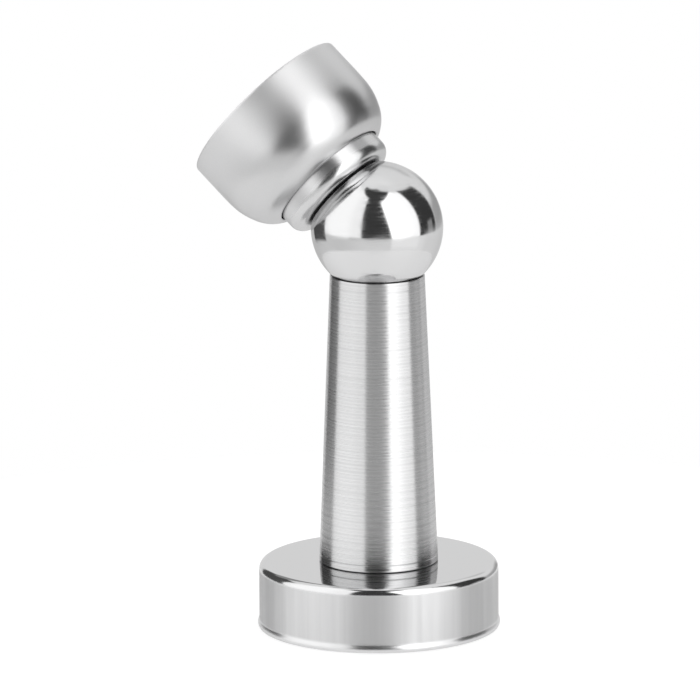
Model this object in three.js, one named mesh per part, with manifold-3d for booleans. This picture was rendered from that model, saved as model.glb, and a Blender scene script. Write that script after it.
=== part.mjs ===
// Floor door holder: a tapered post on a round base, a tilting ball head with a ring magnet,
// and the sprung door cup that the magnet holds. Millimetres, +Z up, floor at z = 0.
import * as THREE from 'three';
import Module from 'manifold-3d';
import { mergeVertices } from 'three/addons/utils/BufferGeometryUtils.js';

const wasm = await Module();
wasm.setup();

// ---- driving dimensions -------------------------------------------------------------------

const SMOOTH = 48; // sides of a turned piece that shows
const HIDDEN = 32; // sides of a larger piece inside
const SMALL = 24; // sides of a small turned piece
const RUNNING = 0.1; // clearance of an inner fit
const HEAD_GAP = 0.3; // air left between neighbours in the tilted head

const BASE_R = 24;
const BASE_LIP_R = 24.3;
const BASE_H = 13.35; // floor to post foot
const SHEET = 1; // wall of the drawn base cover
const CORNER_R = 1.5;
const CROWN = 0.1; // rise of the cover's top from its corner to the post
const FLOOR_GAP = 0.15; // the cover hangs clear of the floor

const PLATE_R = 21.8;
const PLATE_T = 3.2;
const PLATE_RIM_H = 7.6;
const PLATE_RIM_T = 2.2;
const SCREW_PCD_R = 14;
const SCREW_HOLE_R = 2.2;
const SCREW_SINK_R = 4.2;
const SET_SCREW_Z = 5.2;

const POST_FOOT_R = 11.9;
const POST_TOP_R = 9.45;
const POST_TOP_Z = 71.8;
const POST_WALL = 1.2;

const BALL_Z = 81.4;
const BALL_R = 13.18;
const BALL_WALL = 1.5;
const BALL_FLAT = 9.2; // centre to the cut face
const MOUTH_R = 8.6;
const HEAD_TILT = THREE.MathUtils.degToRad(48.4);
const TILT_MIN = THREE.MathUtils.degToRad(15);
const TILT_MAX = THREE.MathUtils.degToRad(90);

const ROD_R = 2;
const ROD_HEAD_R = 4;
const SLOT_HALF = 2.35;

const CAP_R = 12.35;
const CAP_EDGE_R = 2.4;
const CAP_FACE = 9.5; // ball centre to the cap's striking face
const CAP_WALL = 0.9;
const CAP_FLANGE_R = 13.5;
const CAP_BACK = 16.6;

const BELL_HOLE_R = 12.62;
const BELL_NOSE = 14.2; // ball centre to the bell's small end
const BELL_RIM = 33.4;
const BELL_R = 18.3;
const BELL_WALL = 1.2;
const DOOR_PLATE_T = 3;
const BUFFER_FACE = 18.3; // ball centre to the rubber ring that stops the striker's pin collar

// ---- solids -------------------------------------------------------------------------------

// Joins the seam of a closed surface and drops the slivers left on its axis.
function weld(geometry) {
  const plain = geometry.index ? geometry.toNonIndexed() : geometry.clone();
  plain.deleteAttribute('normal');
  plain.deleteAttribute('uv');
  const merged = mergeVertices(plain, 1e-4);
  const source = merged.index.array;
  const kept = [];
  for (let i = 0; i < source.length; i += 3) {
    const [a, b, c] = [source[i], source[i + 1], source[i + 2]];
    if (a !== b && b !== c && c !== a) {
      kept.push(a, b, c);
    }
  }
  merged.setIndex(kept);
  return signedVolume(merged) < 0 ? flipped(merged) : merged;
}

function signedVolume(geometry) {
  const position = geometry.attributes.position;
  const index = geometry.index.array;
  const a = new THREE.Vector3();
  const b = new THREE.Vector3();
  const c = new THREE.Vector3();
  let sum = 0;
  for (let i = 0; i < index.length; i += 3) {
    a.fromBufferAttribute(position, index[i]);
    b.fromBufferAttribute(position, index[i + 1]);
    c.fromBufferAttribute(position, index[i + 2]);
    sum += a.dot(b.cross(c));
  }
  return sum / 6;
}

function flipped(geometry) {
  const index = Array.from(geometry.index.array);
  for (let i = 0; i < index.length; i += 3) {
    [index[i + 1], index[i + 2]] = [index[i + 2], index[i + 1]];
  }
  geometry.setIndex(index);
  return geometry;
}

function toManifold(geometry) {
  const welded = weld(geometry);
  return new wasm.Manifold(new wasm.Mesh({
    numProp: 3,
    vertProperties: new Float32Array(welded.attributes.position.array),
    triVerts: new Uint32Array(welded.index.array),
  }));
}

function fromManifold(manifold) {
  const mesh = manifold.getMesh();
  const geometry = new THREE.BufferGeometry();
  geometry.setAttribute('position', new THREE.BufferAttribute(new Float32Array(mesh.vertProperties), 3));
  geometry.setIndex(Array.from(mesh.triVerts));
  return geometry;
}

// Cuts every tool out of the body.
function cut(body, tools) {
  let result = toManifold(body);
  for (const tool of tools) {
    result = result.subtract(toManifold(tool));
  }
  return fromManifold(result);
}

// Turns a closed [radius, height] outline about Z.
function turned(outline, sides) {
  const points = outline.map(([r, z]) => new THREE.Vector2(r, z));
  const meetsAxis = outline[0][0] < 1e-6;
  if (!meetsAxis) {
    points.push(points[0].clone());
  }
  const geometry = new THREE.LatheGeometry(points, sides);
  geometry.rotateX(Math.PI / 2);
  return weld(geometry);
}

// A plain round rod or disc standing on z.
function disc(radius, z, height, sides = SMALL) {
  return turned([[0, z], [radius, z], [radius, z + height], [0, z + height]], sides);
}

// A flat ring standing on z.
function ring(inner, outer, z, height, sides = SMALL) {
  return turned([[inner, z], [outer, z], [outer, z + height], [inner, z + height]], sides);
}

// Points of a circular arc in the turning plane, angles in degrees from the radius direction.
function arc(centreR, centreZ, radius, from, to, steps) {
  const points = [];
  for (let i = 0; i <= steps; i += 1) {
    const angle = THREE.MathUtils.degToRad(from + ((to - from) * i) / steps);
    points.push([centreR + radius * Math.cos(angle), centreZ + radius * Math.sin(angle)]);
  }
  return points;
}

// A right prism over a regular hexagon, standing on z.
function hexPrism(acrossFlats, z, height) {
  const corner = acrossFlats / Math.sqrt(3);
  const geometry = new THREE.CylinderGeometry(corner, corner, height, 6);
  geometry.rotateX(Math.PI / 2);
  geometry.translate(0, 0, z + height / 2);
  return geometry;
}

class Helix extends THREE.Curve {
  constructor(radius, z, height, turns) {
    super();
    Object.assign(this, { radius, z, height, turns });
  }

  getPoint(t, target = new THREE.Vector3()) {
    const angle = 2 * Math.PI * this.turns * t;
    return target.set(this.radius * Math.cos(angle), this.radius * Math.sin(angle), this.z + this.height * t);
  }
}

// A round-wire compression spring between two heights.
function coilSpring(radius, wireR, bottom, top, turns) {
  const path = new Helix(radius, bottom + wireR, top - bottom - 2 * wireR, turns);
  const section = new THREE.Shape();
  section.absarc(0, 0, wireR, 0, 2 * Math.PI, false);
  return weld(new THREE.ExtrudeGeometry(section, {
    steps: turns * 12,
    curveSegments: 3,
    extrudePath: path,
  }));
}

// ---- base ---------------------------------------------------------------------------------

const FOOT_Z = BASE_H;
const COVER_TOP_UNDERSIDE = BASE_H - SHEET;

function baseCover() {
  const shoulderZ = BASE_H - CROWN - CORNER_R;
  const inner = BASE_R - SHEET;
  const outline = [
    [inner + 0.2, FLOOR_GAP],
    [BASE_LIP_R - 0.25, FLOOR_GAP],
    [BASE_LIP_R, FLOOR_GAP + 0.35],
    [BASE_LIP_R, 1.3],
    [BASE_R, 2.5],
    ...arc(BASE_R - CORNER_R, shoulderZ, CORNER_R, 0, 90, 4),
    [POST_FOOT_R + 3, BASE_H],
    [3.3, BASE_H],
    [3.3, COVER_TOP_UNDERSIDE],
    [POST_FOOT_R + 3, COVER_TOP_UNDERSIDE],
    ...arc(BASE_R - CORNER_R, shoulderZ, CORNER_R - SHEET, 90, 0, 2),
    [inner, 2.5],
  ];
  const cover = turned(outline, SMOOTH);
  return cut(cover, [sideways(disc(2.05, BASE_R - 4, 8), SET_SCREW_Z)]);
}

// Lays a piece modelled along +Z so that it points along +Y at the given height.
function sideways(geometry, z) {
  geometry.rotateX(-Math.PI / 2);
  geometry.translate(0, 0, z);
  return geometry;
}

function mountPlate() {
  const rimInner = PLATE_R - PLATE_RIM_T;
  const plate = turned([
    [0, 0],
    [PLATE_R - 0.4, 0],
    [PLATE_R, 0.4],
    [PLATE_R, SET_SCREW_Z - 1.4],
    [PLATE_R - 0.7, SET_SCREW_Z],
    [PLATE_R, SET_SCREW_Z + 1.4],
    [PLATE_R, PLATE_RIM_H],
    [rimInner, PLATE_RIM_H],
    [rimInner, PLATE_T],
    [0, PLATE_T],
  ], HIDDEN);
  const holes = [90, 210, 330].map((angle) => {
    const hole = turned([
      [0, -1],
      [SCREW_HOLE_R, -1],
      [SCREW_HOLE_R, PLATE_T - (SCREW_SINK_R - SCREW_HOLE_R)],
      [SCREW_SINK_R, PLATE_T],
      [SCREW_SINK_R, PLATE_T + 1],
      [0, PLATE_T + 1],
    ], SMALL);
    hole.translate(SCREW_PCD_R, 0, 0);
    hole.rotateZ(THREE.MathUtils.degToRad(angle));
    return hole;
  });
  return cut(plate, holes);
}

function grubScrew(radius, tipLength, start, end, keyAcross, keyDepth) {
  const body = turned([
    [0, start],
    [0.15, start],
    [radius, start + tipLength],
    [radius, end],
    [0, end],
  ], SMALL);
  return cut(body, [hexPrism(keyAcross, end - keyDepth, 3)]);
}

function coverSetScrew() {
  const start = PLATE_R - 0.6;
  return sideways(grubScrew(1.95, 0.9, start, BASE_R - 0.25, 2, 1.1), SET_SCREW_Z);
}

function postBolt() {
  const headTop = COVER_TOP_UNDERSIDE - 2.2;
  const bolt = turned([
    [0, headTop - 3.2],
    [3.6, headTop - 3.2],
    [5, headTop - 1.6],
    [5, headTop],
    [3, headTop],
    [3, FOOT_Z + 8],
    [2.5, FOOT_Z + 8.6],
    [0, FOOT_Z + 8.6],
  ], SMALL);
  return cut(bolt, [hexPrism(4, headTop - 5, 3.8)]);
}

function postRadius(z) {
  const share = (z - FOOT_Z) / (POST_TOP_Z - FOOT_Z);
  return POST_FOOT_R + (POST_TOP_R - POST_FOOT_R) * share;
}

function postTube() {
  const foot = FOOT_Z + RUNNING;
  return turned([
    [postRadius(foot) - POST_WALL, foot],
    [postRadius(foot) - 0.2, foot],
    [postRadius(foot + 0.25), foot + 0.25],
    [postRadius(POST_TOP_Z - 0.2), POST_TOP_Z - 0.2],
    [POST_TOP_R - 0.2, POST_TOP_Z],
    [POST_TOP_R - POST_WALL, POST_TOP_Z - 1],
  ], SMOOTH);
}

function footBush() {
  const bottom = FOOT_Z + 0.1;
  const top = bottom + 9;
  const gap = POST_WALL + RUNNING;
  return turned([
    [3.05, bottom],
    [postRadius(bottom) - gap, bottom],
    [postRadius(top) - gap, top],
    [3.05, top],
  ], HIDDEN);
}

function seatRing() {
  const bottom = 62;
  const outer = POST_TOP_R - POST_WALL - RUNNING;
  const cupR = BALL_R + 0.12;
  const from = -THREE.MathUtils.radToDeg(Math.acos((outer - 0.5) / cupR));
  const to = -THREE.MathUtils.radToDeg(Math.acos((ROD_R + 0.9) / cupR));
  const cup = arc(0, BALL_Z, cupR, from, to, 4);
  return turned([
    [ROD_R + RUNNING, bottom],
    [outer, bottom],
    [outer, cup[0][1]],
    ...cup,
    [ROD_R + RUNNING, cup[cup.length - 1][1] - 0.8],
  ], HIDDEN);
}

// ---- tension rod and its spring -----------------------------------------------------------

const SADDLE_OUT = BALL_R - BALL_WALL - 0.2;
const SADDLE_IN = SADDLE_OUT - 0.8;
const SPRING_TOP = 61.9;
const SPRING_BOTTOM = 51;

// Height of a sphere about the ball's centre, on its lower side.
function bowlZ(radius, r) {
  return BALL_Z - Math.sqrt(radius * radius - r * r);
}

function tensionRod() {
  const seatR = SADDLE_IN - 0.08;
  const steps = [0.25, 0.5, 0.75, 1].map((share) => ROD_R + (ROD_HEAD_R - ROD_R) * share);
  return turned([
    [0, 45.5],
    [1.6, 45.5],
    [ROD_R, 46],
    [ROD_R, bowlZ(seatR, ROD_R)],
    ...steps.map((r) => [r, bowlZ(seatR, r)]),
    [ROD_HEAD_R, BALL_Z - 9.3],
    [ROD_HEAD_R - 0.4, BALL_Z - 8.9],
    [0, BALL_Z - 8.9],
  ], SMALL);
}

function saddleWasher() {
  const inner = ROD_R + RUNNING;
  const outer = 4.6;
  const radii = [0, 0.25, 0.5, 0.75, 1].map((share) => inner + (outer - inner) * share);
  return turned([
    ...radii.map((r) => [r, bowlZ(SADDLE_OUT, r)]),
    ...radii.reverse().map((r) => [r, bowlZ(SADDLE_IN, r)]),
  ], SMALL);
}

function lockNut() {
  const outer = hexPrism(7, SPRING_BOTTOM - 5.6, 4.4);
  return cut(outer, [disc(ROD_R + 0.05, SPRING_BOTTOM - 7, 8)]);
}

// ---- ball head, modelled upright about the ball's centre -----------------------------------

function slotCutter() {
  const inner = 8;
  const outer = BALL_R + 2;
  const sector = new THREE.Shape();
  sector.absarc(0, 0, outer, -Math.PI / 2 - TILT_MAX, -Math.PI / 2 - TILT_MIN, false);
  sector.absarc(0, 0, inner, -Math.PI / 2 - TILT_MIN, -Math.PI / 2 - TILT_MAX, true);
  sector.closePath();
  const slab = new THREE.ExtrudeGeometry(sector, {
    depth: 2 * SLOT_HALF,
    bevelEnabled: false,
    curveSegments: 16,
  });
  slab.translate(0, 0, -SLOT_HALF);
  slab.rotateX(Math.PI / 2);
  const ends = [TILT_MIN, TILT_MAX].map((tilt) => {
    const end = disc(SLOT_HALF, inner, outer - inner);
    end.rotateY(Math.PI + tilt);
    return end;
  });
  return [slab, ...ends];
}

function ballShell() {
  const inner = BALL_R - BALL_WALL;
  const flatAngle = THREE.MathUtils.radToDeg(Math.asin((BALL_FLAT - 0.2) / BALL_R));
  const mouthAngle = THREE.MathUtils.radToDeg(Math.acos(MOUTH_R / inner));
  const shell = turned([
    ...arc(0, 0, BALL_R, -90, flatAngle, 12),
    [Math.sqrt(BALL_R * BALL_R - BALL_FLAT * BALL_FLAT) - 0.15, BALL_FLAT],
    [MOUTH_R, BALL_FLAT],
    ...arc(0, 0, inner, mouthAngle, -90, 10),
  ], SMOOTH);
  return cut(shell, slotCutter());
}

function magnetPot() {
  return turned([
    [1.7, 4.6],
    [8.1, 4.6],
    [8.3, 4.8],
    [8.3, BALL_FLAT - 0.2],
    [7.4, BALL_FLAT - 0.2],
    [7.4, 5.8],
    [1.7, 5.8],
  ], HIDDEN);
}

function ringMagnet() {
  return ring(2.6, 7.3, 5.9, BALL_FLAT - 0.35 - 5.9, HIDDEN);
}

function magnetRivet() {
  return turned([
    [0, 3.7],
    [2.4, 3.7],
    [2.6, 4],
    [2.6, 4.5],
    [1.6, 4.5],
    [1.6, BALL_FLAT - 1.4],
    [2.5, BALL_FLAT - 0.6],
    [0, BALL_FLAT - 0.6],
  ], SMALL);
}

// ---- sprung striker ------------------------------------------------------------------------

const DISC_BACK = CAP_FACE + CAP_WALL + 3.5;

function strikeCap() {
  const faceR = CAP_R - CAP_EDGE_R;
  const inner = CAP_R - CAP_WALL;
  return turned([
    [0, CAP_FACE],
    ...arc(faceR, CAP_FACE + CAP_EDGE_R, CAP_EDGE_R, -90, 0, 4),
    [CAP_R, CAP_BACK - 0.9],
    [CAP_FLANGE_R, CAP_BACK - 0.9],
    [CAP_FLANGE_R, CAP_BACK],
    [inner, CAP_BACK],
    ...arc(faceR, CAP_FACE + CAP_EDGE_R, CAP_EDGE_R - CAP_WALL, 0, -90, 2),
    [0, CAP_FACE + CAP_WALL],
  ], SMOOTH);
}

function strikeDisc() {
  const face = CAP_FACE + CAP_WALL + HEAD_GAP;
  return turned([
    [2.6, face],
    [9.6, face],
    [10.9, face + 1.5],
    [10.9, DISC_BACK],
    [2.6, DISC_BACK],
  ], HIDDEN);
}

function guidePin() {
  const face = CAP_FACE + CAP_WALL + HEAD_GAP;
  return turned([
    [0, face],
    [2.3, face],
    [2.3, DISC_BACK + HEAD_GAP],
    [4, DISC_BACK + HEAD_GAP],
    [4, DISC_BACK + 1.2],
    [2.3, DISC_BACK + 1.2],
    [2.3, 25.6],
    [1.8, 26.1],
    [0, 26.1],
  ], SMALL);
}

// ---- door cup ------------------------------------------------------------------------------

// Outer wall from the cup's rim to its hole: a straight skirt that rolls into a rounded nose.
function bellOutside() {
  return [
    [BELL_R - 0.3, BELL_RIM],
    [BELL_R, BELL_RIM - 0.4],
    [BELL_R, 25.4],
    [17.95, 21.6],
    [17.3, 18.7],
    [16.4, 16.8],
    [15.2, 15.3],
    [13.8, 14.4],
    [BELL_HOLE_R + 0.2, BELL_NOSE],
  ];
}

function bellInside() {
  return [
    [BELL_HOLE_R, BELL_NOSE + 0.9],
    [13.9, 15.65],
    [15.2, 17],
    [16.2, 19.2],
    [BELL_R - BELL_WALL, 25.4],
    [BELL_R - BELL_WALL, BELL_RIM],
  ];
}

function bellCup() {
  const cup = turned([...bellOutside(), ...bellInside()], SMOOTH);
  return cut(cup, [bellScrewAt(disc(1.1, BELL_R - 3, 6, 20))]);
}

// Lays a piece along the cup's radius at the door plate, on the side turned from the post.
function bellScrewAt(geometry) {
  geometry.rotateX(-Math.PI / 2);
  geometry.translate(0, 0, BELL_RIM - DOOR_PLATE_T / 2);
  return geometry;
}

function bellSetScrew() {
  const start = BELL_R - BELL_WALL - HEAD_GAP - 0.1;
  return bellScrewAt(grubScrew(0.95, 0.5, start, BELL_R - 0.2, 0.9, 0.7));
}

function doorPlate() {
  const front = BELL_RIM - DOOR_PLATE_T;
  const outer = BELL_R - BELL_WALL - HEAD_GAP;
  const plate = turned([
    [0, front],
    [outer, front],
    [outer, front + 0.9],
    [outer - 0.4, front + DOOR_PLATE_T / 2],
    [outer, BELL_RIM - 0.9],
    [outer, BELL_RIM],
    [0, BELL_RIM],
  ], SMOOTH);
  const holes = [0, 180].map((angle) => {
    const hole = turned([
      [0, front - 1],
      [3.8, front - 1],
      [3.8, front],
      [2, front + 1.8],
      [2, BELL_RIM + 1],
      [0, BELL_RIM + 1],
    ], SMALL);
    hole.translate(11.2, 0, 0);
    hole.rotateZ(THREE.MathUtils.degToRad(angle));
    return hole;
  });
  return cut(plate, holes);
}

function guideBush() {
  const front = BELL_RIM - DOOR_PLATE_T - HEAD_GAP;
  return turned([
    [2.4, BUFFER_FACE + 2],
    [4.2, BUFFER_FACE + 2],
    [4.2, front - 1.5],
    [5.4, front - 1.5],
    [5.4, front],
    [2.4, front],
  ], SMALL);
}

function bufferRing() {
  return ring(2.7, 4.4, BUFFER_FACE, 1.7);
}

function bufferSpring() {
  return coilSpring(7.1, 0.6, DISC_BACK + HEAD_GAP, BELL_RIM - DOOR_PLATE_T - HEAD_GAP, 6);
}

// ---- assembly ------------------------------------------------------------------------------

function piece(name, geometry, colour, metalness, roughness) {
  const material = new THREE.MeshStandardMaterial({ color: colour, metalness, roughness });
  const mesh = new THREE.Mesh(geometry, material);
  mesh.name = name;
  return mesh;
}

const steel = (name, geometry) => piece(name, geometry, 0xc9cacc, 1, 0.2);
const darkSteel = (name, geometry) => piece(name, geometry, 0x8d9094, 1, 0.4);

function standPieces() {
  return [
    piece('mount_plate', mountPlate(), 0x9a9da0, 1, 0.5),
    steel('base_cover', baseCover()),
    darkSteel('cover_set_screw', coverSetScrew()),
    darkSteel('bolt_washer', ring(3.3, 9, COVER_TOP_UNDERSIDE - 1.3, 1.2)),
    darkSteel('lock_washer', ring(3.2, 5.6, COVER_TOP_UNDERSIDE - 2.1, 0.7)),
    darkSteel('post_bolt', postBolt()),
    piece('foot_bush', footBush(), 0x9a9da0, 1, 0.5),
    steel('post_tube', postTube()),
    piece('seat_ring', seatRing(), 0x1c1c1e, 0, 0.5),
  ];
}

function tensionPieces() {
  return [
    darkSteel('tension_rod', tensionRod()),
    piece('saddle_washer', saddleWasher(), 0xb08d4a, 1, 0.35),
    darkSteel('tension_spring', coilSpring(4, 0.7, SPRING_BOTTOM, SPRING_TOP, 5)),
    darkSteel('spring_washer', ring(ROD_R + RUNNING, 5.4, SPRING_BOTTOM - 1.1, 1)),
    darkSteel('lock_nut', lockNut()),
  ];
}

function headPieces() {
  return [
    steel('ball_shell', ballShell()),
    darkSteel('magnet_pot', magnetPot()),
    piece('ring_magnet', ringMagnet(), 0x4a4b4e, 1, 0.35),
    darkSteel('magnet_rivet', magnetRivet()),
    steel('strike_cap', strikeCap()),
    darkSteel('strike_disc', strikeDisc()),
    darkSteel('guide_pin', guidePin()),
    darkSteel('buffer_spring', bufferSpring()),
    piece('bell_cup', bellCup(), 0xd2d3d4, 1, 0.45),
    darkSteel('bell_set_screw', bellSetScrew()),
    darkSteel('door_plate', doorPlate()),
    piece('guide_bush', guideBush(), 0x2a2a2c, 0, 0.5),
    piece('buffer_ring', bufferRing(), 0x151516, 0, 0.8),
  ];
}

function build() {
  const holder = new THREE.Group();
  holder.name = 'floor_door_holder';
  holder.add(...standPieces(), ...tensionPieces());
  const head = new THREE.Group();
  head.name = 'head';
  head.add(...headPieces());
  head.position.set(0, 0, BALL_Z);
  head.rotation.y = -HEAD_TILT;
  holder.add(head);
  return holder;
}

export default build();
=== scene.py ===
"""Floor door holder: looks, studio and camera. Metres, +Z up."""

import math

import bmesh
import bpy
from mathutils import Matrix, Vector


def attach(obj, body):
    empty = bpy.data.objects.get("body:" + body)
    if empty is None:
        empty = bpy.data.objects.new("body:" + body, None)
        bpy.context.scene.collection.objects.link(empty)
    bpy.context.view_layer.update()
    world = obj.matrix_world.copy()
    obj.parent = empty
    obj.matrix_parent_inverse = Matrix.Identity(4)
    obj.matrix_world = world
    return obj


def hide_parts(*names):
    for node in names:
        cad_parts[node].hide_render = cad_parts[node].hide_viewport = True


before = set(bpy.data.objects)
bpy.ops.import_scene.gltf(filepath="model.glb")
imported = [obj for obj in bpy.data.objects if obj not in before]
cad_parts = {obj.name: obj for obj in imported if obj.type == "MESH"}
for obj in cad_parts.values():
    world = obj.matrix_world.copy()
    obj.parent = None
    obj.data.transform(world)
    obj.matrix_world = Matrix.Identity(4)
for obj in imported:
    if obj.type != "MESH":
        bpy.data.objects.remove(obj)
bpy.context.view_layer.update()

MM = 0.001
ON_AXIS = 1e-5  # a radius this small is a single point
AROUND = 224  # segments of a large turned piece
AROUND_HOLE = 96  # of the hole in the base cover
AROUND_BORE = 64  # of the smaller bores
MAP_LENGTH = 100  # millimetres of outline in one unit of an unrolled piece
SHARP = math.radians(32)  # faces that meet at more than this keep a sharp edge

# Sizes in millimetres. In the head, heights run from the ball's centre.
BASE_R = 24
BASE_H = 13.35
CORNER_R = 1.5
CROWN = 0.1
SHEET = 1
SET_SCREW_Z = 5.2
POST_FOOT_R = 11.9
POST_TOP_R = 9.45
POST_TOP_Z = 71.8
POST_WALL = 1.2
BALL_Z = 81.4
BALL_R = 13.18
BALL_WALL = 1.5
BALL_FLAT = 9.2  # centre to the cut face
MOUTH_R = 8.6
SLOT_HALF = 2.35
SLOT_ENDS = (math.radians(15), math.radians(90))
HEAD_TILT = math.radians(48.4)
CAP_R = 12.35
CAP_EDGE_R = 2.4
CAP_FACE = 9.5
CAP_WALL = 0.9
CAP_FLANGE_R = 13.5
CAP_BACK = 16.6
BELL_HOLE_R = 12.62
BELL_NOSE = 14.2
BELL_RIM = 33.4
BELL_R = 18.3
BELL_WALL = 1.2
DOOR_PLATE_T = 3.0
DOOR_SCREW_X = 11.2

TO_HEAD_Z = BALL_Z * math.cos(HEAD_TILT)  # height of the ball's centre along the head's axis
TO_HEAD = Matrix.Translation((0, 0, BALL_Z)) @ Matrix.Rotation(-HEAD_TILT, 4, "Y")


# ---- turned shapes ------------------------------------------------------------------------

def arc(centre_r, centre_z, radius, start, end, steps):
    """Points of a circular arc in the turning plane, angles in degrees."""
    points = []
    for i in range(steps + 1):
        angle = math.radians(start + (end - start) * i / steps)
        points.append((centre_r + radius * math.cos(angle), centre_z + radius * math.sin(angle)))
    return points


def rounded(corners, steps=5):
    """A closed outline through (r, z, fillet) corners, each rounded by its own fillet."""
    outline = []
    most = 0.48  # of a side's length that one fillet may take
    count = len(corners)
    for i, (r, z, fillet) in enumerate(corners):
        here = Vector((r, z))
        if fillet == 0:
            outline.append((r, z))
            continue
        back = Vector(corners[i - 1][:2]) - here
        ahead = Vector(corners[(i + 1) % count][:2]) - here
        half = back.angle(ahead) / 2
        reach = min(fillet / math.tan(half), back.length * most, ahead.length * most)
        size = reach * math.tan(half)
        centre = here + (back.normalized() + ahead.normalized()).normalized() * (size / math.sin(half))
        start = (here + back.normalized() * reach - centre).normalized()
        end = (here + ahead.normalized() * reach - centre).normalized()
        for k in range(steps + 1):
            point = centre + start.slerp(end, k / steps) * size
            outline.append((point.x, point.y))
    return outline


def smooth_run(points, steps=8):
    """A Catmull-Rom run through the given points, for a flowing wall."""
    out = []
    padded = [points[0]] + points + [points[-1]]
    for a, b, c, d in zip(padded, padded[1:], padded[2:], padded[3:]):
        for k in range(steps):
            t = k / steps
            out.append(tuple(
                0.5 * (2 * b[j] + (c[j] - a[j]) * t + (2 * a[j] - 5 * b[j] + 4 * c[j] - d[j]) * t * t
                       + (3 * b[j] - a[j] - 3 * c[j] + d[j]) * t ** 3)
                for j in range(2)))
    out.append(points[-1])
    return out


def new_object(name, bm):
    """Makes an object of the scene from a finished mesh."""
    mesh = bpy.data.meshes.new(name)
    bm.to_mesh(mesh)
    bm.free()
    made = bpy.data.objects.new(name, mesh)
    bpy.context.scene.collection.objects.link(made)
    return made


def turned_mesh(name, outline, around=AROUND):
    """A closed surface turned about Z from a closed outline in millimetres, unrolled as a flat map."""
    bm = bmesh.new()
    unrolled = bm.loops.layers.uv.new("turned")
    rings = []
    for r, z in outline:
        if r < ON_AXIS:
            rings.append([bm.verts.new((0, 0, z * MM))])
            continue
        rings.append([
            bm.verts.new((r * MM * math.cos(2 * math.pi * k / around),
                          r * MM * math.sin(2 * math.pi * k / around), z * MM))
            for k in range(around)])
    along = 0.0
    for i, lower in enumerate(rings):
        upper = rings[(i + 1) % len(rings)]
        step = math.dist(outline[i], outline[(i + 1) % len(rings)])
        if len(lower) == 1 and len(upper) == 1:
            continue
        for k in range(around):
            places = {}
            for ring, side, v in ((lower, k, along), (lower, k + 1, along),
                                  (upper, k + 1, along + step), (upper, k, along + step)):
                places.setdefault(ring[side % around % len(ring)], (side / around, v / MAP_LENGTH))
            face = bm.faces.new(list(places))
            for loop in face.loops:
                loop[unrolled].uv = places[loop.vert]
        along += step
    bmesh.ops.recalc_face_normals(bm, faces=bm.faces)
    return new_object(name, bm)


def bore_tool(low, high, radius, around=AROUND_BORE):
    """A plain round cutter along Z."""
    return turned_mesh("tool", [(0, low), (radius, low), (radius, high), (0, high)], around)


def laid_across(tool, height):
    """Turns a cutter from Z to the piece's far side, at the given height."""
    tool.data.transform(Matrix.Translation((0, 0, height * MM)) @ Matrix.Rotation(-math.pi / 2, 4, "X"))
    return tool


def cut_by(piece, cutters):
    """Cuts the cutter objects out of the piece and removes them."""
    for cutter in cutters:
        step = piece.modifiers.new("cut", "BOOLEAN")
        step.operation = "DIFFERENCE"
        step.solver = "EXACT"
        step.object = cutter
    bpy.context.view_layer.update()
    graph = bpy.context.evaluated_depsgraph_get()
    mesh = bpy.data.meshes.new_from_object(piece.evaluated_get(graph))
    piece.modifiers.clear()
    piece.data = mesh
    for cutter in cutters:
        bpy.data.objects.remove(cutter)


def seat(piece, body, material, stands_for, in_head=False):
    """Puts a finished piece on its body in place of the node it stands for."""
    if in_head:
        piece.data.transform(Matrix.Scale(MM, 4) @ TO_HEAD @ Matrix.Scale(1 / MM, 4))
    for face in piece.data.polygons:
        face.use_smooth = True
    piece.data.set_sharp_from_angle(angle=SHARP)
    piece.data.materials.clear()
    piece.data.materials.append(material)
    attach(piece, body)
    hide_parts(stands_for)


# ---- materials ----------------------------------------------------------------------------

class Graph:
    """Short calls for building a node tree."""

    def __init__(self, owner):
        owner.use_nodes = True
        self.tree = owner.node_tree

    def add(self, kind, **settings):
        node = self.tree.nodes.new(kind)
        for key, value in settings.items():
            setattr(node, key, value)
        return node

    def link(self, output, target):
        self.tree.links.new(output, target)

    def math(self, operation, a, b=None):
        node = self.add("ShaderNodeMath", operation=operation)
        for slot, value in enumerate((a, b)):
            if value is None:
                continue
            if isinstance(value, (int, float)):
                node.inputs[slot].default_value = value
            else:
                self.link(value, node.inputs[slot])
        return node.outputs[0]


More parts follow.
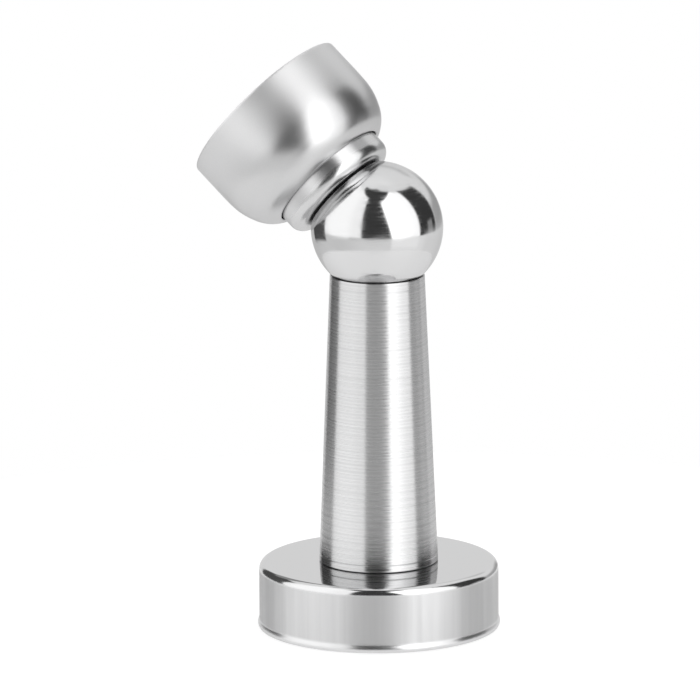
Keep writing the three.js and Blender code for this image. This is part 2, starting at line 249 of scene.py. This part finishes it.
class Nodes(Graph):
    """One material's node tree."""

    def __init__(self, name):
        self.material = bpy.data.materials.new(name)
        super().__init__(self.material)
        self.shader = self.tree.nodes["Principled BSDF"]
        self.coords = self.add("ShaderNodeTexCoord").outputs["Object"]

    def mapped(self, scale, coords=None, turn=(0, 0, 0)):
        node = self.add("ShaderNodeMapping")
        node.inputs["Scale"].default_value = scale
        node.inputs["Rotation"].default_value = turn
        self.link(coords or self.coords, node.inputs["Vector"])
        return node.outputs[0]

    def noise(self, vector, scale, detail=3.0, roughness=0.55):
        node = self.add("ShaderNodeTexNoise")
        self.link(vector, node.inputs["Vector"])
        node.inputs["Scale"].default_value = scale
        node.inputs["Detail"].default_value = detail
        node.inputs["Roughness"].default_value = roughness
        return node.outputs["Fac"]

    def span(self, value, low, high, to_low, to_high, smooth=False):
        node = self.add("ShaderNodeMapRange", interpolation_type="SMOOTHSTEP" if smooth else "LINEAR")
        ends = {"From Min": low, "From Max": high, "To Min": to_low, "To Max": to_high}
        for slot, number in ends.items():
            node.inputs[slot].default_value = number
        self.link(value, node.inputs["Value"])
        return node.outputs[0]

    def tint(self, factor, dark, light):
        node = self.add("ShaderNodeMix", data_type="RGBA")
        self.link(factor, node.inputs[0])
        node.inputs[6].default_value = (*dark, 1)
        node.inputs[7].default_value = (*light, 1)
        return node.outputs[2]

    def height(self):
        """The height above the floor, in metres."""
        split = self.add("ShaderNodeSeparateXYZ")
        self.link(self.coords, split.inputs[0])
        return split.outputs["Z"]

    def bump(self, height, distance, strength):
        node = self.add("ShaderNodeBump")
        node.inputs["Strength"].default_value = strength
        node.inputs["Distance"].default_value = distance
        self.link(height, node.inputs["Height"])
        self.link(node.outputs[0], self.shader.inputs["Normal"])

    def metal(self, colour, roughness, edge=0.76):
        """Metal of the given colour; edge below 1 holds back the brightening at glancing angles."""
        self.shader.inputs["Base Color"].default_value = (*colour, 1)
        self.shader.inputs["Metallic"].default_value = 1.0
        self.shader.inputs["Roughness"].default_value = roughness
        self.shader.inputs["Specular Tint"].default_value = (edge, edge, edge, 1)

    def unrolled(self):
        """Round and along a turned piece, as on its unrolled surface."""
        return self.add("ShaderNodeUVMap", uv_map="turned").outputs[0]

    def up_the_head(self, low, high):
        """0 to 1 between two distances from the ball's centre, in millimetres along the head's axis."""
        split = self.add("ShaderNodeSeparateXYZ")
        self.link(self.mapped((1, 1, 1), turn=(0, HEAD_TILT, 0)), split.inputs[0])
        return self.span(split.outputs["Z"], (TO_HEAD_Z + low) * MM, (TO_HEAD_Z + high) * MM, 0, 1, True)

    def brushed_round(self, strength):
        """Stretches the gloss up the piece, as marks that run round it do."""
        tangent = self.add("ShaderNodeTangent", direction_type="UV_MAP", uv_map="turned")
        self.link(tangent.outputs[0], self.shader.inputs["Tangent"])
        self.shader.inputs["Anisotropic"].default_value = strength
        self.shader.inputs["Anisotropic Rotation"].default_value = 0.25


def grey(value):
    """The grey of bare steel, cool by a trace."""
    return (value, value, value * 1.005)


def polished_steel():
    """Mirror-polished stainless steel: faint haze, and a few hairline wipe marks."""
    tone, roughness = 0.66, 0.12
    n = Nodes("polished_steel")
    n.metal(grey(tone), roughness)
    haze = n.noise(n.coords, 90, 4)
    hairs = n.noise(n.mapped((1, 1, 14)), 260, 2)
    both = n.math("MULTIPLY", haze, hairs)
    n.link(n.span(both, 0.15, 0.4, roughness * 0.6, roughness * 1.9), n.shader.inputs["Roughness"])
    n.link(n.tint(haze, grey(tone * 0.985), grey(tone * 1.015)), n.shader.inputs["Base Color"])
    n.bump(hairs, 0.000002, 0.15)
    return n.material


def cap_steel():
    """Steel cap polished at its rounded edge, with turning marks left on its side."""
    n = Nodes("cap_steel")
    n.metal(grey(0.62), 0.25)
    n.brushed_round(0.4)
    side = n.up_the_head(11.4, 12.6)
    haze = n.noise(n.coords, 120, 3)
    lines = n.noise(n.mapped((1, 60, 1), n.unrolled()), 12, 3)
    rough = n.math("ADD", n.math("MULTIPLY", side, 0.04), n.span(haze, 0.3, 0.7, 0.23, 0.26))
    n.link(rough, n.shader.inputs["Roughness"])
    n.link(n.tint(lines, grey(0.6), grey(0.65)), n.shader.inputs["Base Color"])
    return n.material


def brushed_post():
    """Steel tube brushed round its girth: fine rings of uneven depth."""
    rings_per_metre = 1470
    n = Nodes("brushed_post")
    n.metal(grey(0.67), 0.29)
    n.brushed_round(0.96)
    drift = n.noise(n.mapped((6, 6, 160)), 3, 2)
    turns = n.math("ADD", n.math("MULTIPLY", n.height(), rings_per_metre), n.math("MULTIPLY", drift, 0.8))
    groove = n.math("POWER", n.math("ABSOLUTE", n.math("SINE", n.math("MULTIPLY", turns, math.pi))), 6)
    feed = n.math("MULTIPLY", turns, math.pi * 0.47)
    uneven = n.span(n.noise(n.mapped((2, 2, 300)), 1.5, 2), 0.35, 0.65, 0.1, 1)
    ridge = n.math("MULTIPLY", uneven, n.math("POWER", n.math("ABSOLUTE", n.math("SINE", feed)), 14))
    fine = n.noise(n.mapped((6, 6, 1400)), 4, 4, 0.7)
    mixed = n.math("ADD", n.math("MULTIPLY", fine, 0.66), n.math("MULTIPLY", groove, 0.2))
    rough = n.math("ADD", n.span(mixed, 0.25, 0.65, 0.25, 0.36), n.math("MULTIPLY", ridge, 0.12))
    n.link(rough, n.shader.inputs["Roughness"])
    n.link(n.tint(n.span(mixed, 0.27, 0.62, 0, 1), grey(0.6), grey(0.72)), n.shader.inputs["Base Color"])
    n.bump(mixed, 0.00003, 0.3)
    return n.material


def base_steel():
    """Drawn cover: mirror top, wall finished with a soft upright grain, its colour painted darker towards
    the bottom as painted shade.
    """
    n = Nodes("base_steel")
    n.metal(grey(0.655), 0.05, 0.82)
    n.brushed_round(0.6)
    height = n.height()
    below_corner = n.span(height, (BASE_H - 1.9) * MM, (BASE_H - 1.2) * MM, 1, 0, True)
    above_lip = n.span(height, 1.5 * MM, 2.1 * MM, 0, 1, True)
    wall = n.math("MULTIPLY", below_corner, above_lip)
    streaks = n.noise(n.mapped((1, 1, 0.03)), 700, 3, 0.6)
    haze = n.noise(n.coords, 80, 3)
    edge = n.span(height, (BASE_H - 0.5) * MM, (BASE_H - 0.05) * MM, 1, 0, True)
    satin = n.math("MULTIPLY", wall, n.span(streaks, 0.3, 0.7, 0.27, 0.4))
    lip = n.math("MULTIPLY", n.math("SUBTRACT", 1, above_lip), 0.16)
    soft = n.math("ADD", n.math("MULTIPLY", edge, 0.09), n.span(haze, 0.3, 0.7, 0.03, 0.06))
    n.link(n.math("ADD", n.math("ADD", satin, lip), soft), n.shader.inputs["Roughness"])
    # the wall's steel is a darker grey than the top, and is painted darker still towards the bottom:
    # painted shade, with the upright streaks over it
    low = n.span(height, 0, (BASE_H - 2) * MM, 0.75, 0.35)
    shade = n.math("MULTIPLY", wall, n.math("ADD", low, n.math("MULTIPLY", streaks, 0.3)))
    n.link(n.tint(shade, grey(0.665), grey(0.57)), n.shader.inputs["Base Color"])
    n.bump(n.math("MULTIPLY", wall, streaks), 0.00001, 0.25)
    return n.material


def satin_bell():
    """Blasted and satin-plated cup: soft highlights with a very fine grain, its colour painted lighter from
    the nose towards the rim as painted light.
    """
    n = Nodes("satin_bell")
    n.metal(grey(0.63), 0.3)
    skirt_rougher_painted_lighter = n.up_the_head(19, 31)
    grain = n.noise(n.coords, 5200, 2, 0.7)
    cloud = n.noise(n.coords, 60, 3)
    n.link(n.math("ADD", n.math("MULTIPLY", skirt_rougher_painted_lighter, 0.15), n.span(cloud, 0.3, 0.7, 0.28, 0.31)),
           n.shader.inputs["Roughness"])
    # painted light: the colour runs lighter from the nose towards the rim, with the fine grain over it
    tone = n.math("ADD", n.math("MULTIPLY", grain, 0.4), n.math("MULTIPLY", skirt_rougher_painted_lighter, 0.6))
    n.link(n.tint(tone, grey(0.56), grey(0.76)), n.shader.inputs["Base Color"])
    n.bump(grain, 0.000012, 0.35)
    return n.material


def plated_steel(name, tone, roughness):
    """Zinc-plated or plain machine steel for the inner pieces and fixings."""
    n = Nodes(name)
    n.metal(grey(tone), roughness)
    mottle = n.noise(n.coords, 420, 4)
    n.link(n.span(mottle, 0.3, 0.7, roughness * 0.75, roughness * 1.3), n.shader.inputs["Roughness"])
    n.link(n.tint(mottle, grey(tone * 0.88), grey(tone * 1.08)), n.shader.inputs["Base Color"])
    n.bump(mottle, 0.00002, 0.2)
    return n.material


def brass():
    """Plain turned brass."""
    n = Nodes("brass")
    n.metal((0.72, 0.52, 0.24), 0.3)
    mottle = n.noise(n.coords, 300, 3)
    n.link(n.span(mottle, 0.3, 0.7, 0.24, 0.4), n.shader.inputs["Roughness"])
    n.link(n.tint(mottle, (0.62, 0.43, 0.19), (0.78, 0.58, 0.28)), n.shader.inputs["Base Color"])
    return n.material


def black(name, tone, roughness, grain_scale):
    """Moulded plastic or rubber with a fine mould grain."""
    n = Nodes(name)
    n.shader.inputs["Roughness"].default_value = roughness
    grain = n.noise(n.coords, grain_scale, 3)
    n.link(n.tint(grain, grey(tone * 0.8), grey(tone * 1.3)), n.shader.inputs["Base Color"])
    n.link(n.span(grain, 0.3, 0.7, roughness * 0.85, roughness * 1.15), n.shader.inputs["Roughness"])
    n.bump(grain, 0.00003, 0.3)
    return n.material


POLISHED = polished_steel()
CAP_POLISHED = cap_steel()
BRUSHED = brushed_post()
BASE = base_steel()
SATIN = satin_bell()
ZINC = plated_steel("zinc_plated_steel", 0.6, 0.3)
FIXING = plated_steel("fixing_steel", 0.5, 0.28)
SPRING = plated_steel("spring_steel", 0.45, 0.25)
MAGNET = plated_steel("magnet", 0.3, 0.35)
BRASS = brass()
PLASTIC = black("black_plastic", 0.02, 0.4, 900)
RUBBER = black("black_rubber", 0.015, 0.75, 1500)


# ---- visible pieces -----------------------------------------------------------------------

def base_cover():
    """Drawn cover with a rolled lip, a rounded corner and a hole for the grub screw."""
    bolt_hole, screw_hole = 3.3, 2.05
    shoulder = BASE_H - CROWN - CORNER_R
    lip = smooth_run([(BASE_R + out, height) for out, height in (
        (0.1, 0.17), (0.26, 0.5), (0.3, 0.85), (0.22, 1.2), (0.07, 1.6), (0, 2.1))], 5)
    outer = arc(BASE_R - CORNER_R, shoulder, CORNER_R, 0, 90, 18)
    inner = arc(BASE_R - CORNER_R, shoulder, CORNER_R - SHEET, 90, 0, 6)
    outline = [(23.25, 0.15), *lip, *outer, (20.0, BASE_H - 0.03), (14.9, BASE_H), (bolt_hole, BASE_H),
               (bolt_hole, BASE_H - SHEET), (14.9, BASE_H - SHEET), *inner, (BASE_R - SHEET, 2.5)]
    piece = turned_mesh("base_cover_skin", outline)
    cut_by(piece, [laid_across(bore_tool(BASE_R - 4, BASE_R + 4, screw_hole, AROUND_HOLE), SET_SCREW_Z)])
    seat(piece, "base", BASE, "base_cover")


def post_tube():
    """Tapered tube with a fine groove cut round it just above the foot."""
    foot = BASE_H + 0.1
    groove = foot + 1.25
    on_taper = [(height, depth) for height, depth in (
        (foot + 0.5, 0), (groove - 0.06, 0), (groove, 0), (groove + 0.14, 0.14), (groove + 0.28, 0),
        (groove + 0.34, 0), (30, 0), (50, 0), (POST_TOP_Z - 0.4, 0))]
    slope = (POST_TOP_R - POST_FOOT_R) / (POST_TOP_Z - foot)
    outline = rounded([
        (POST_FOOT_R - POST_WALL, foot, 0),
        (POST_FOOT_R, foot, 0.25),
        *[(POST_FOOT_R + slope * (height - foot) - depth, height, 0) for height, depth in on_taper],
        (POST_TOP_R, POST_TOP_Z, 0.15),
        (POST_TOP_R - 0.2, POST_TOP_Z, 0.05),
        (POST_TOP_R - POST_WALL, POST_TOP_Z - 1, 0),
    ])
    seat(turned_mesh("post_tube_skin", outline), "base", BRUSHED, "post_tube")


def slot_cutters():
    """The tilt slot's three cutters, in the upright head's frame."""
    low, high = SLOT_ENDS
    inner, outer, steps = 8.0, 15.2, 24
    bm = bmesh.new()
    sides = []
    for y in (-SLOT_HALF, SLOT_HALF):
        far = [(outer, low + (high - low) * k / steps) for k in range(steps + 1)]
        near = [(inner, angle) for _, angle in reversed(far)]
        sides.append([bm.verts.new((-r * math.sin(angle) * MM, y * MM, -r * math.cos(angle) * MM))
                      for r, angle in far + near])
    bm.faces.new(sides[0])
    bm.faces.new(sides[1][::-1])
    count = len(sides[0])
    for k in range(count):
        n = (k + 1) % count
        bm.faces.new((sides[0][k], sides[1][k], sides[1][n], sides[0][n]))
    bmesh.ops.recalc_face_normals(bm, faces=bm.faces)
    sector = new_object("tool", bm)
    ends = []
    for tilt in SLOT_ENDS:
        end = bore_tool(inner, outer, SLOT_HALF)
        end.data.transform(Matrix.Rotation(math.pi + tilt, 4, "Y"))
        ends.append(end)
    return [sector, *ends]


def ball_shell():
    """Hollow ball, cut flat and open where the magnet sits, with the slot that the rod runs in."""
    inner = BALL_R - BALL_WALL
    flat = math.degrees(math.asin((BALL_FLAT - 0.1) / BALL_R))
    mouth = math.degrees(math.acos(MOUTH_R / inner))
    outer_arc = arc(0, 0, BALL_R, -90, flat, 120)
    inner_arc = arc(0, 0, inner, mouth, -90, 40)
    edge = math.sqrt(BALL_R ** 2 - BALL_FLAT ** 2) - 0.14
    outline = [(0, -BALL_R), *outer_arc[1:], (edge, BALL_FLAT), (MOUTH_R + 0.1, BALL_FLAT),
               (MOUTH_R, BALL_FLAT - 0.1), *inner_arc[:-1], (0, -inner)]
    piece = turned_mesh("ball_shell_skin", outline)
    cut_by(piece, slot_cutters())
    seat(piece, "ball_head", POLISHED, "ball_shell", in_head=True)


def strike_cap():
    """Polished cap with a large rounded edge, and a flange that stays inside the cup."""
    flat, turn = CAP_R - CAP_EDGE_R, CAP_FACE + CAP_EDGE_R
    outline = [(0, CAP_FACE), (flat - 2, CAP_FACE), *arc(flat, turn, CAP_EDGE_R, -90, 0, 20),
               (CAP_R, CAP_BACK - 1), (CAP_FLANGE_R - 0.1, CAP_BACK - 0.9), (CAP_FLANGE_R, CAP_BACK - 0.8),
               (CAP_FLANGE_R, CAP_BACK), (CAP_R - CAP_WALL, CAP_BACK),
               *arc(flat, turn, CAP_EDGE_R - CAP_WALL, 0, -90, 8), (0, CAP_FACE + CAP_WALL)]
    piece = turned_mesh("strike_cap_skin", outline)
    seat(piece, "striker", CAP_POLISHED, "strike_cap", in_head=True)


def bell_cup():
    """Bell-shaped cup with a hole for its grub screw."""
    screw_hole = 1.1
    outside = smooth_run([
        (BELL_R, BELL_RIM - 0.1), (BELL_R, 30.0), (BELL_R, 27.0), (18.28, 24.8), (18.2, 22.9),
        (17.98, 21.3), (17.58, 19.8), (17.08, 18.5), (16.45, 17.2), (15.5, 15.9), (14.5, 15.0),
        (13.6, 14.4), (13.1, BELL_NOSE),
    ], 6)
    hole = [(12.8, BELL_NOSE), (BELL_HOLE_R, BELL_NOSE + 0.15), (BELL_HOLE_R, BELL_NOSE + 0.9)]
    bore = BELL_R - BELL_WALL
    inside = [(13.9, 15.65), (15.2, 17.0), (16.2, 19.2), (bore, 25.4), (bore, BELL_RIM - 0.1),
              (bore + 0.1, BELL_RIM)]
    outline = [(BELL_R - 0.1, BELL_RIM), (BELL_R - 0.03, BELL_RIM - 0.03), *outside, *hole, *inside]
    piece = turned_mesh("bell_cup_skin", outline)
    cut_by(piece, [laid_across(bore_tool(BELL_R - 3, BELL_R + 3, screw_hole), BELL_RIM - DOOR_PLATE_T / 2)])
    seat(piece, "door_cup", SATIN, "bell_cup", in_head=True)


def door_plate():
    """Plate in the cup's wide end, grooved for the grub screw, with two countersunk screw holes."""
    head_hole, shank_hole = 3.8, 2
    front, outer = BELL_RIM - DOOR_PLATE_T, BELL_R - BELL_WALL - 0.3
    outline = rounded([
        (0, front, 0), (outer - 0.3, front, 0), (outer, front, 0.15), (outer, front + 0.9, 0.1),
        (outer - 0.4, front + DOOR_PLATE_T / 2, 0.1), (outer, BELL_RIM - 0.9, 0.1), (outer, BELL_RIM, 0.15),
        (outer - 0.3, BELL_RIM, 0), (0, BELL_RIM, 0),
    ], 3)
    piece = turned_mesh("door_plate_skin", outline)
    holes = []
    for side in (-1, 1):
        hole = turned_mesh("tool", [
            (0, front - 1), (head_hole, front - 1), (head_hole, front), (shank_hole, front + 1.8),
            (shank_hole, BELL_RIM + 1), (0, BELL_RIM + 1),
        ], AROUND_BORE)
        hole.data.transform(Matrix.Translation((side * DOOR_SCREW_X * MM, 0, 0)))
        holes.append(hole)
    cut_by(piece, holes)
    seat(piece, "door_cup", ZINC, "door_plate", in_head=True)


def inner_pieces():
    """Finishes for the pieces that keep their own shape."""
    looks = {
        ZINC: ["mount_plate", "foot_bush", "magnet_pot", "strike_disc"],
        FIXING: ["cover_set_screw", "bolt_washer", "lock_washer", "post_bolt", "tension_rod",
                 "spring_washer", "lock_nut", "magnet_rivet", "guide_pin", "bell_set_screw"],
        SPRING: ["tension_spring", "buffer_spring"],
        MAGNET: ["ring_magnet"],
        BRASS: ["saddle_washer"],
        PLASTIC: ["seat_ring", "guide_bush"],
        RUBBER: ["buffer_ring"],
    }
    for material, names in looks.items():
        for name in names:
            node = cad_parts[name]
            node.data.materials.clear()
            node.data.materials.append(material)


base_cover()
post_tube()
ball_shell()
strike_cap()
bell_cup()
door_plate()
inner_pieces()


# ---- studio -------------------------------------------------------------------------------

AZIMUTH = math.radians(27.4)  # the camera's place round the post


def floor():
    """A plain round table top that glows a little, just under the holder."""
    radius, sides, drop = 0.15, 128, 0.00005
    bm = bmesh.new()
    bm.faces.new([bm.verts.new((radius * math.cos(2 * math.pi * k / sides),
                                radius * math.sin(2 * math.pi * k / sides), 0)) for k in range(sides)])
    table = new_object("floor", bm)
    table.location.z = -drop
    n = Nodes("floor_white")
    n.shader.inputs["Base Color"].default_value = (0.3, 0.3, 0.3, 1)
    n.shader.inputs["Roughness"].default_value = 0.55
    n.shader.inputs["Emission Color"].default_value = (1, 1, 1, 1)
    n.shader.inputs["Emission Strength"].default_value = 0.75
    table.data.materials.append(n.material)


class Sky(Graph):
    """The studio round the object as light by direction: bearing from the camera, + to the right, and
    height over the horizon, both in degrees. Panels are painted over each other."""

    def __init__(self, bearing_zero, light):
        world = bpy.data.worlds.new("studio")
        bpy.context.scene.world = world
        super().__init__(world)
        self.back = self.tree.nodes["Background"]
        turn = self.add("ShaderNodeVectorRotate", rotation_type="Z_AXIS")
        turn.inputs["Angle"].default_value = -bearing_zero
        self.link(self.add("ShaderNodeTexCoord").outputs["Generated"], turn.inputs["Vector"])
        split = self.add("ShaderNodeSeparateXYZ")
        self.link(turn.outputs[0], split.inputs[0])
        right, ahead, up = split.outputs
        self.bearing = self.math("DEGREES", self.math("ARCTAN2", right, self.math("MULTIPLY", ahead, -1)))
        self.height = self.math("DEGREES", self.math("ARCSINE", up))
        self.light = light

    def step(self, value, edge, soft):
        """0 below the edge and 1 above it."""
        node = self.add("ShaderNodeMapRange", interpolation_type="SMOOTHSTEP")
        node.inputs["From Min"].default_value = edge - soft
        node.inputs["From Max"].default_value = edge + soft
        self.link(value, node.inputs["Value"])
        return node.outputs[0]

    def between(self, value, low, high, soft):
        """1 from the low edge to the high one."""
        return self.math("SUBTRACT", self.step(value, low, soft), self.step(value, high, soft))

    def inside(self, left, right, low, high, soft, lean_left=0.0, lean_right=0.0):
        """1 within a panel. Its sides lean by so many degrees of bearing for each degree of height."""
        base_left = self.math("SUBTRACT", self.bearing, self.math("MULTIPLY", self.height, lean_left))
        base_right = self.math("SUBTRACT", self.bearing, self.math("MULTIPLY", self.height, lean_right))
        sides = self.math("SUBTRACT", self.step(base_left, left, soft), self.step(base_right, right, soft))
        rows = self.between(self.height, low, high, soft)
        return self.math("MULTIPLY", self.math("MAXIMUM", sides, 0), rows)

    def slab(self, left, right, low, high, slope):
        """1 within a panel whose top is high at its left and falls away to the right."""
        soft_side, soft_row = 2.5, 2.0
        fall = self.math("MULTIPLY", self.math("SUBTRACT", self.bearing, left), slope)
        top = self.math("ADD", self.height, fall)
        sides = self.between(self.bearing, left, right, soft_side)
        rows = self.math("SUBTRACT", self.step(self.height, low, soft_row), self.step(top, high, soft_row))
        return self.math("MULTIPLY", self.math("MAXIMUM", sides, 0), self.math("MAXIMUM", rows, 0))

    def wedge(self, left, right, low_left, low_right, high_left, high_right):
        """1 between two straight edges that rise or fall from the left bearing to the right one."""
        soft = 1.8
        along = self.math("DIVIDE", self.math("SUBTRACT", self.bearing, left), right - left)
        low = self.math("ADD", self.math("MULTIPLY", along, low_right - low_left), low_left)
        high = self.math("ADD", self.math("MULTIPLY", along, high_right - high_left), high_left)
        rows = self.math("MULTIPLY", self.step(self.math("SUBTRACT", self.height, low), 0, soft),
                         self.step(self.math("SUBTRACT", high, self.height), 0, soft))
        sides = self.between(self.bearing, left, right, soft)
        return self.math("MULTIPLY", rows, self.math("MAXIMUM", sides, 0))

    def paint(self, mask, level):
        """Lays a panel of the given brightness over what is there."""
        node = self.add("ShaderNodeMix")
        self.link(mask, node.inputs[0])
        if isinstance(self.light, (int, float)):
            node.inputs[2].default_value = self.light
        else:
            self.link(self.light, node.inputs[2])
        node.inputs[3].default_value = level
        self.light = node.outputs[0]


def studio():
    """A white tent with a soft box on each side of the camera and dark cloth in the gaps."""
    sky = Sky(AZIMUTH, light=1.0)
    dark = 0.05
    back_left, back_right = -181, 181  # just past the seam behind the holder
    table = -9.8  # height of the table's far edge
    foot = -13  # the panels reach a little below it
    # the tent's roof
    sky.paint(sky.inside(back_left, back_right, 70, 91, 8), 1.08)
    # the left soft box, brighter in its middle
    sky.paint(sky.inside(-108, -27, foot, 69, 2.0), 1.3)
    sky.paint(sky.inside(-96, -50, foot, 66, 9), 1.42)
    # the dark gap round the camera
    sky.paint(sky.inside(-27.5, 24, foot, 61, 2.0, 0.0, -0.24), dark)
    # the right soft box, dimmer at its right, with the tent's slope over it
    box = sky.inside(24, 80, foot, 72, 2.0, -0.24)
    sky.paint(box, 2.35)
    sky.paint(sky.math("MULTIPLY", box, sky.step(sky.bearing, 52, 16)), 1.5)
    sky.paint(sky.wedge(46, 96, 71.4, 54.4, 110, 110), 1.0)
    # the dark strips over both soft boxes
    sky.paint(sky.wedge(-80, 4, 74.5, 53.5, 77, 82), dark)
    sky.paint(sky.wedge(-4, 62, 50, 72, 82.5, 69), dark)
    # the dark panel on the right, a low grey box in front of it and a low grey wall behind it
    sky.paint(sky.slab(80, 124, foot, 62.6, 0.45), dark)
    sky.paint(sky.inside(100, 113, foot, 4, 2.5), 0.33)
    sky.paint(sky.inside(124, 165, foot, 12, 5), 0.52)
    # the table, brightest at the front right and dimmer at the left and the back
    sky.paint(sky.inside(back_left, back_right, -91, table, 1.0), 1.02)
    sky.paint(sky.inside(24, 78, -26, table, 5), 1.14)
    sky.paint(sky.inside(92, back_right, -50, table, 8), 0.92)
    skirting = sky.inside(back_left, 24, -34, table, 2.5)
    sky.paint(skirting, 0.78)
    sky.paint(sky.math("MULTIPLY", skirting, sky.step(sky.bearing, -45, 30)), 0.9)
    sky.paint(sky.inside(back_left, -90, -50, table, 9), 0.8)
    sky.paint(sky.inside(-50, -30, -11.5, -8.5, 1.5), 0.6)
    # the dark panel on the left, and the small ones high at the back
    sky.paint(sky.inside(-148, -104, -17, 42, 2.0, -0.36, -0.15), 0.09)
    sky.paint(sky.inside(back_left, -140, 30, 46, 2.5), 0.35)
    sky.paint(sky.inside(150, back_right, 28, 38, 2.5), 0.75)
    # the backdrop itself is plain white
    sky.paint(sky.add("ShaderNodeLightPath").outputs["Is Camera Ray"], 1.0)
    sky.link(sky.light, sky.back.inputs["Strength"])
    sky.back.inputs["Color"].default_value = (1, 1, 1, 1)


def camera():
    """A long lens a little above the post's middle, aimed just left of the axis."""
    pitch, roll = math.radians(12.613), math.radians(-0.34)
    distance, aim_right, aim_up = 1.7408, -0.005512, 0.05639
    sensor, lens = 36, 449.0
    right = Vector((math.cos(AZIMUTH), math.sin(AZIMUTH), 0))
    level = Vector((-math.sin(AZIMUTH), math.cos(AZIMUTH), 0))
    ahead = level * math.cos(pitch) - Vector((0, 0, math.sin(pitch)))
    up = right.cross(ahead)
    tilted_right = right * math.cos(roll) + up * math.sin(roll)
    tilted_up = up * math.cos(roll) - right * math.sin(roll)
    place = right * aim_right + Vector((0, 0, aim_up)) - ahead * distance
    data = bpy.data.cameras.new("camera")
    data.sensor_width = sensor
    data.lens = lens
    data.clip_start, data.clip_end = 0.05, 20
    cam = bpy.data.objects.new("camera", data)
    axes = Matrix((tilted_right, tilted_up, -ahead)).transposed().to_4x4()
    cam.matrix_world = Matrix.Translation(place) @ axes
    bpy.context.scene.collection.objects.link(cam)
    bpy.context.scene.camera = cam


floor()
studio()
camera()
bpy.context.scene.view_settings.view_transform = "Standard"
